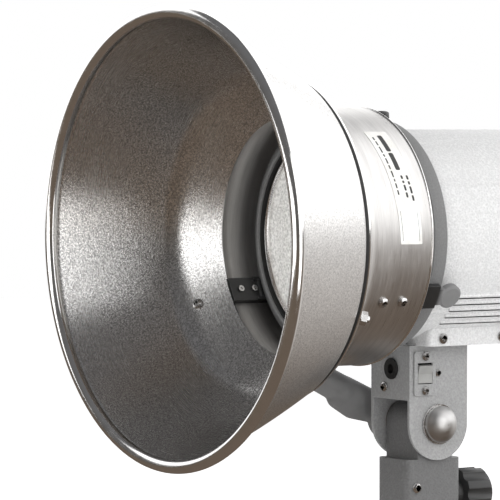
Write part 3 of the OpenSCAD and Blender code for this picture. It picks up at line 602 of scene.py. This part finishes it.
def build_label():
    """Data label stuck on the drum at a slight slant, printed with plain dashes, no lettering."""
    verts, faces = [], []
    wrapped_plate((LABEL_MIDDLE, LABEL_FORWARD * MM), (LABEL_LENGTH, LABEL_WIDTH),
                  LABEL_R, LABEL_T, LABEL_CORNER, verts, faces)
    label = add_mesh("label", verts, faces, "reflector", [LABEL], 40)
    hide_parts("data_label")
    verts, faces = [], []
    top = LABEL_MIDDLE + LABEL_LENGTH / 2
    for start, ahead, thick, dashes in PRINT:
        at = start
        for dash in dashes:
            centre = (top - (at + dash / 2) * MM, (LABEL_FORWARD + ahead) * MM)
            wrapped_plate(centre, (dash * MM, thick * MM),
                          INK_R, INK_T, thick * 0.3 * MM, verts, faces)
            at += dash + DASH_GAP
    ink = add_mesh("label_print", verts, faces, "reflector", [INK], 40)


# ------------------------------------------------------------------ lamp head


def build_front_ring():
    """Dark ring that the drum clips on, with a fine groove outside and the glass's seat inside."""
    front, back = REAR_Y - RING_LO.y, REAR_Y - RING_HI.y
    outer, bore = RING_HI.x, BODY_R + RING_CLEARANCE
    groove = outer - GROOVE_DEPTH
    shelf = (REAR_Y - GLASS_HI.y) - 1.2 * MM
    corners = [Vector((bore, back)), Vector((outer - 1 * MM, back)),
               Vector((outer, back + 1 * MM)), Vector((outer, -6.2 * MM)),
               Vector((groove, -5.8 * MM)), Vector((groove, -4.8 * MM)),
               Vector((outer, -4.4 * MM)), Vector((outer, front - 2.5 * MM)),
               Vector((SEAT_R + 1.4 * MM, front)), Vector((SEAT_R, front)),
               Vector((SEAT_R, shelf)), Vector((SHELF_R, shelf)),
               Vector((SHELF_R, shelf - SHELF_T)), Vector((bore, shelf - SHELF_T))]
    ring = lathe("ring", rounded(corners, 0.3 * MM, 2), "lamp_head", [RING])
    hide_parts("front_ring")


def pebble(x, z):
    """Height of the glass's hammered relief, from 0 to 1."""
    point = Vector((x, z, 0)) / PEBBLE_SIZE
    near = noise.voronoi(point)[0]
    return min(1.0, (near[1] - near[0]) * 1.6) * 0.7 + 0.3 * noise.noise(point * 1.7)


def build_glass():
    """Hammered glass: a fine polar grid with real relief in front, closed by a flat back."""
    radius = GLASS_HI.x
    front, back = REAR_Y - GLASS_LO.y, REAR_Y - GLASS_HI.y
    edge_front = front - GLASS_CROWN
    field = radius * GLASS_FIELD
    rings, segments = 76, 300
    verts = [on_axis(0, 0, front)]
    for ring in range(1, rings + 1):
        r = field * ring / rings
        crown = edge_front + GLASS_CROWN * (1 - (r / field) ** 2)
        fade = min(1.0, (rings - ring) / 3)
        for s in range(segments):
            angle = 2 * math.pi * s / segments
            height = pebble(r * math.cos(angle), r * math.sin(angle)) - 0.5
            verts.append(on_axis(r, angle, crown + height * GLASS_RELIEF * fade))
    rim = [(radius * GLASS_EDGE, edge_front), (radius, edge_front - 0.3 * MM),
           (radius, back + 0.3 * MM), (radius * GLASS_EDGE, back)]
    for r, forward in rim:
        verts += [on_axis(r, 2 * math.pi * s / segments, forward) for s in range(segments)]
    verts.append(on_axis(0, 0, back))
    faces = [(0, 1 + s, 1 + (s + 1) % segments) for s in range(segments)]
    total = rings + len(rim)
    for ring in range(total - 1):
        a, b = 1 + ring * segments, 1 + (ring + 1) * segments
        faces += [(a + s, b + s, b + (s + 1) % segments, a + (s + 1) % segments)
                  for s in range(segments)]
    last, centre = 1 + (total - 1) * segments, len(verts) - 1
    faces += [(last + s, centre, last + (s + 1) % segments) for s in range(segments)]
    glass = add_mesh("glass", verts, faces, "lamp_head", [FRONT_GLASS], 50)
    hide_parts("front_glass")


def build_retainer():
    """Bright ring that holds the glass in its seat."""
    glass_edge = REAR_Y - GLASS_LO.y - GLASS_CROWN
    inner, outer = GLASS_HI.x - 2.3 * MM, GLASS_HI.x - RING_CLEARANCE
    corners = [Vector((inner, glass_edge + GAP)), Vector((outer, glass_edge + GAP)),
               Vector((outer, glass_edge + 2.9 * MM)),
               Vector((GLASS_HI.x - 1.2 * MM, glass_edge + 3.4 * MM)),
               Vector((inner, glass_edge + 1.6 * MM))]
    retainer = lathe("retainer", rounded(corners, 0.3 * MM, 3), "lamp_head", [BRIGHT])
    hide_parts("glass_retainer")


def capsule(start, end, radius, normal, verts, faces, around=12):
    """Adds a half-sunk rib with round ends between two points, on a surface with that normal."""
    axis = (end - start).normalized()
    side = axis.cross(normal).normalized()
    length = (end - start).length
    base = len(verts)
    quarter = [math.pi / 2 * k / 5 for k in range(6)]
    stations = [(-math.cos(t) * radius, math.sin(t)) for t in quarter]
    stations += [(length + math.sin(t) * radius, math.cos(t)) for t in quarter]
    for x, share in stations:
        for s in range(around):
            angle = 2 * math.pi * s / around
            off = (side * math.cos(angle) + normal * math.sin(angle)) * radius * share
            verts.append(start + axis * x + off)
    for k in range(len(stations) - 1):
        a, b = base + k * around, base + (k + 1) * around
        faces += [(a + s, a + (s + 1) % around, b + (s + 1) % around, b + s)
                  for s in range(around)]


def build_louvres():
    """Raised hoods above the body's cooling slots, on both sides."""
    verts, faces = [], []
    for side in (-1, 1):
        for row in range(LOUVRE_ROWS):
            up = LOUVRE_TOP - LOUVRE_PITCH * row
            angle = math.asin(up / BODY_R)
            normal = Vector((side * math.cos(angle), 0, math.sin(angle)))
            at = Vector((0, 0, AXIS_Z)) + normal * (BODY_R - 0.1 * MM)
            start = at + Vector((0, REAR_Y + LOUVRE_START, 0))
            end = start + Vector((0, LOUVRE_LENGTH, 0))
            capsule(start, end, LOUVRE_R, normal, verts, faces)
    hoods = add_mesh("louvre_hoods", verts, faces, "lamp_head", [CRINKLE], 60)


def apply_modifiers(piece):
    """Turns a piece's modifiers into its mesh."""
    graph = bpy.context.evaluated_depsgraph_get()
    mesh = bpy.data.meshes.new_from_object(piece.evaluated_get(graph))
    piece.modifiers.clear()
    piece.data = mesh


HANDLE_VOXEL = 0.7 * MM
HANDLE_SMOOTHING = 14


def build_handle():
    """Soft moulded handle: the design's solid remeshed and smoothed, so every edge is rounded."""
    source = NODES["lock_handle"]
    piece = bpy.data.objects.new("handle", source.data.copy())
    bpy.context.scene.collection.objects.link(piece)
    remesh = piece.modifiers.new("remesh", "REMESH")
    remesh.mode = "VOXEL"
    remesh.voxel_size = HANDLE_VOXEL
    smooth = piece.modifiers.new("smooth", "SMOOTH")
    smooth.factor = 0.5
    smooth.iterations = HANDLE_SMOOTHING
    apply_modifiers(piece)
    piece.data.materials.clear()
    piece.data.materials.append(HANDLE)
    sharpen(piece.data, 45)
    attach(piece, "lock_handle")
    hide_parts("lock_handle")


CABLE_DROOP = 5 * MM / 0.42
DROOP_START = 0.35


def build_cable():
    """Round cable stub with a slight droop and a plain cut end."""
    low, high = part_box("power_cable")
    radius = (high.x - low.x) / 2
    centre_z = (low.z + high.z) / 2
    steps, around = 26, 28
    verts, faces = [], []
    for k in range(steps + 1):
        t = k / steps
        y = low.y + (high.y - low.y) * t
        z = centre_z - CABLE_DROOP * max(0.0, t - DROOP_START) ** 2
        share = 1.0 if k < steps else 0.96
        for s in range(around):
            angle = 2 * math.pi * s / around
            x, up = radius * share * math.cos(angle), radius * share * math.sin(angle)
            verts.append(Vector((x, y, z + up)))
    for k in range(steps):
        a, b = k * around, (k + 1) * around
        faces += [(a + s, a + (s + 1) % around, b + (s + 1) % around, b + s)
                  for s in range(around)]
    faces.append(tuple(range(around)))
    faces.append(tuple(range(steps * around, (steps + 1) * around)))
    cable = add_mesh("cable", verts, faces, "lamp_head", [RUBBER], 40)
    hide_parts("power_cable")


# ------------------------------------------------------------------ carried-over nodes

FINISHES = {
    "rim_wire": STEEL, "dish_screws": STEEL, "dish_washers": STEEL, "dish_nuts": STEEL,
    "block_screws": STEEL, "finger_screws": STEEL, "cover_screws": STEEL, "saddle_screws": STEEL,
    "web_screw": STEEL, "switch_screws": STEEL, "tilt_bolt": STEEL, "tilt_washers": STEEL,
    "dome_nut": DOME, "clamp_screw": STEEL, "stop_screw": BRIGHT, "lamp_bowl": BRIGHT,
    "clamp_blocks": BLACK, "finger_roots": BLACK,
    "latch_finger_right": LATCH, "latch_finger_left": BLACK, "latch_finger_top": BLACK,
    "glass_gasket": RUBBER, "web_grommet": RUBBER,
    "bulkhead": SPUN_PLAIN, "chassis_plate": SPUN_PLAIN,
    "tube_holder": CERAMIC, "lamp_socket": CERAMIC, "flash_tube": CLEAR, "modelling_lamp": CLEAR,
    "body_shell": CRINKLE, "body_saddle": CRINKLE, "yoke_bracket": YOKE, "switch_bezel": YOKE,
    "switch_case": KNOB, "fan_frame": KNOB, "fan_rotor": KNOB, "cable_gland": KNOB,
    "clamp_knob": KNOB, "rear_cover": COVER, "switch_rocker": PALE,
    "ready_lamp": RED, "test_button": RED,
    "trigger_board": BOARD, "trigger_coil": COPPER, "storage_capacitor": SLEEVE,
    "board_standoffs": BRASS, "lock_insert": BRASS, "stand_bushing": BRASS, "clamp_pad": BRASS,
    "friction_discs": FIBRE, "stand_adapter": ADAPTER,
}

# Widths of the rounds on edges, in mm; every other node has the small one
BEVELS = {
    "stand_adapter": 0.7, "yoke_bracket": 0.35, "body_saddle": 0.6, "clamp_knob": 0.5,
    "rear_cover": 0.4, "clamp_blocks": 0.3, "latch_finger_right": 0.35,
    "latch_finger_left": 0.35, "latch_finger_top": 0.35, "switch_rocker": 0.35,
    "switch_bezel": 0.3, "dome_nut": 0.3,
}
SMALL_BEVEL = 0.12
WELD_GAP = 0.002 * MM
FLAT_ANGLE = math.radians(0.6)
EDGE_ANGLE = math.radians(35)


def finish_nodes():
    """Gives each CAD node its finish, and small rounds on its edges once flat faces are merged."""
    for name, material in FINISHES.items():
        node = NODES[name]
        node.data.materials.clear()
        node.data.materials.append(material)
        weld = node.modifiers.new("weld", "WELD")
        weld.merge_threshold = WELD_GAP
        flat = node.modifiers.new("flat", "DECIMATE")
        flat.decimate_type = "DISSOLVE"
        flat.angle_limit = FLAT_ANGLE
        bevel = node.modifiers.new("bevel", "BEVEL")
        bevel.width = BEVELS.get(name, SMALL_BEVEL) * MM
        bevel.segments = 2
        bevel.limit_method = "ANGLE"
        bevel.angle_limit = EDGE_ANGLE
        bevel.harden_normals = True
        bevel.use_clamp_overlap = True


# ------------------------------------------------------------------ floor, light and camera


FLOOR_DROP = 0.3
FLOOR_R = 9


def build_floor():
    """Pale floor that meets the backdrop without a line, low enough for the head to tilt down."""
    g = Graph("pale_floor")
    cloud = g.noise(3, 3)
    seen = g.add("ShaderNodeLightPath").outputs["Is Camera Ray"]
    floor_material = g.shade(base_color=g.mix(cloud, grey(0.84), grey(0.88)), roughness=0.9,
                             specular_ior_level=0.1, emission_color=(1, 1, 1, 1),
                             emission_strength=g.math("MULTIPLY", seen, 0.9))
    mesh = bpy.data.meshes.new("floor")
    work = bmesh.new()
    bmesh.ops.create_circle(work, cap_ends=True, segments=96, radius=FLOOR_R)
    work.to_mesh(mesh)
    work.free()
    floor = bpy.data.objects.new("floor", mesh)
    floor.location.z = CAD_BOX[0].z - FLOOR_DROP
    mesh.materials.append(floor_material)
    bpy.context.scene.collection.objects.link(floor)
    floor.visible_glossy = False


def toward(azimuth, elevation):
    """Unit vector at an azimuth from +X towards +Y and an elevation, in degrees."""
    a, e = math.radians(azimuth), math.radians(elevation)
    return Vector((math.cos(a) * math.cos(e), math.sin(a) * math.cos(e), math.sin(e)))


PANEL_DISTANCE = 2.4


def softbox(name, azimuth, elevation, size, radiance):
    """A soft panel that faces the drum. Its radiance is what a mirror would show."""
    data = bpy.data.lights.new(name, "AREA")
    data.shape = "RECTANGLE"
    data.size, data.size_y = size
    data.energy = radiance * math.pi * size[0] * size[1]
    panel = bpy.data.objects.new(name, data)
    away = toward(azimuth, elevation)
    panel.location = Vector((0, REAR_Y, AXIS_Z)) + away * PANEL_DISTANCE
    panel.rotation_euler = away.to_track_quat("Z", "Y").to_euler()
    panel.visible_camera = False
    bpy.context.scene.collection.objects.link(panel)
    return panel


# Glows in the room that the metal sees: azimuth, elevation, the angle from the middle where they
# end, the one where they are full, and their level
GLOWS = ((88, 6, 44, 6, 0.6), (128, 12, 26, 10, 0.4))


def build_world():
    """White backdrop for the camera. The metal sees a warm dark underside and two broad glows."""
    world = bpy.data.worlds.new("studio")
    bpy.context.scene.world = world
    world.use_nodes = True
    tree = world.node_tree
    tree.nodes.clear()
    links = tree.links
    place = tree.nodes.new("ShaderNodeTexCoord").outputs["Generated"]
    split = tree.nodes.new("ShaderNodeSeparateXYZ")
    links.new(place, split.inputs[0])
    level = tree.nodes.new("ShaderNodeMapRange")
    level.inputs["From Min"].default_value = -1
    links.new(split.outputs[2], level.inputs["Value"])
    ramp = tree.nodes.new("ShaderNodeValToRGB")
    stops = ramp.color_ramp.elements
    stops[0].position, stops[0].color = 0.0, (0.15, 0.115, 0.09, 1)
    stops[1].position, stops[1].color = 1.0, (0.15, 0.15, 0.155, 1)
    for position, colour in ((0.42, (0.14, 0.11, 0.085, 1)), (0.55, (0.105, 0.1, 0.095, 1))):
        stop = stops.new(position)
        stop.color = colour
    links.new(level.outputs[0], ramp.inputs[0])
    total = ramp.outputs[0]
    for azimuth, elevation, end, full, strength in GLOWS:
        facing = tree.nodes.new("ShaderNodeVectorMath")
        facing.operation = "DOT_PRODUCT"
        facing.inputs[1].default_value = toward(azimuth, elevation)
        links.new(place, facing.inputs[0])
        glow = tree.nodes.new("ShaderNodeMapRange")
        glow.interpolation_type = "SMOOTHSTEP"
        glow.inputs["From Min"].default_value = math.cos(math.radians(end))
        glow.inputs["From Max"].default_value = math.cos(math.radians(full))
        glow.inputs["To Max"].default_value = strength
        links.new(facing.outputs["Value"], glow.inputs["Value"])
        both = tree.nodes.new("ShaderNodeVectorMath")
        links.new(total, both.inputs[0])
        links.new(glow.outputs[0], both.inputs[1])
        total = both.outputs[0]
    lit = tree.nodes.new("ShaderNodeBackground")
    links.new(total, lit.inputs[0])
    seen = tree.nodes.new("ShaderNodeBackground")
    seen.inputs[0].default_value = (1, 1, 1, 1)
    path = tree.nodes.new("ShaderNodeLightPath")
    choose = tree.nodes.new("ShaderNodeMixShader")
    links.new(path.outputs["Is Camera Ray"], choose.inputs[0])
    links.new(lit.outputs[0], choose.inputs[1])
    links.new(seen.outputs[0], choose.inputs[2])
    output = tree.nodes.new("ShaderNodeOutputWorld")
    links.new(choose.outputs[0], output.inputs[0])


def build_lights():
    """Five panels round the head, and a fill that lights without showing in the metal."""
    softbox("key", 67, 33, (4.4, 2.6), 1.4)
    softbox("side", 4, 8, (1.9, 2.7), 1.8)
    softbox("front", -98, 3, (2.6, 0.8), 2.0)
    softbox("left", 186, 24, (2.4, 2.2), 1.3)
    softbox("back", 146, 23, (1.6, 1.5), 1.4)
    fill = softbox("fill", -50, 28, (1.6, 1.6), 3.4)
    fill.visible_glossy = False


AZIMUTH = math.radians(54.06)
ELEVATION = math.radians(1.68)
DISTANCE = 1.913
FRAME_WIDTH = 281.65 * MM
AIM_LEFT = 59.4 * MM
AIM_DOWN = 8.0 * MM
SENSOR_WIDTH = 36


def build_camera():
    """Long lens aimed left of the drum, so that the lamp head runs out of frame."""
    subject = Vector((0, REAR_Y, AXIS_Z))
    level = math.cos(ELEVATION)
    back = Vector((math.sin(AZIMUTH) * level, -math.cos(AZIMUTH) * level, math.sin(ELEVATION)))
    right = Vector((math.cos(AZIMUTH), math.sin(AZIMUTH), 0))
    place = subject + back * DISTANCE
    aim = subject - right * AIM_LEFT - right.cross(-back) * AIM_DOWN
    data = bpy.data.cameras.new("camera")
    data.sensor_width = SENSOR_WIDTH
    data.lens = SENSOR_WIDTH * DISTANCE / FRAME_WIDTH
    data.clip_end = 50
    camera = bpy.data.objects.new("camera", data)
    camera.location = place
    camera.rotation_euler = (aim - place).to_track_quat("-Z", "Y").to_euler()
    bpy.context.scene.collection.objects.link(camera)
    bpy.context.scene.camera = camera


build_dish()
build_gasket()
build_drum()
build_label()
build_front_ring()
build_glass()
build_retainer()
build_louvres()
build_handle()
build_cable()
finish_nodes()
build_floor()
build_world()
build_lights()
build_camera()
bpy.context.scene.view_settings.view_transform = "Standard"
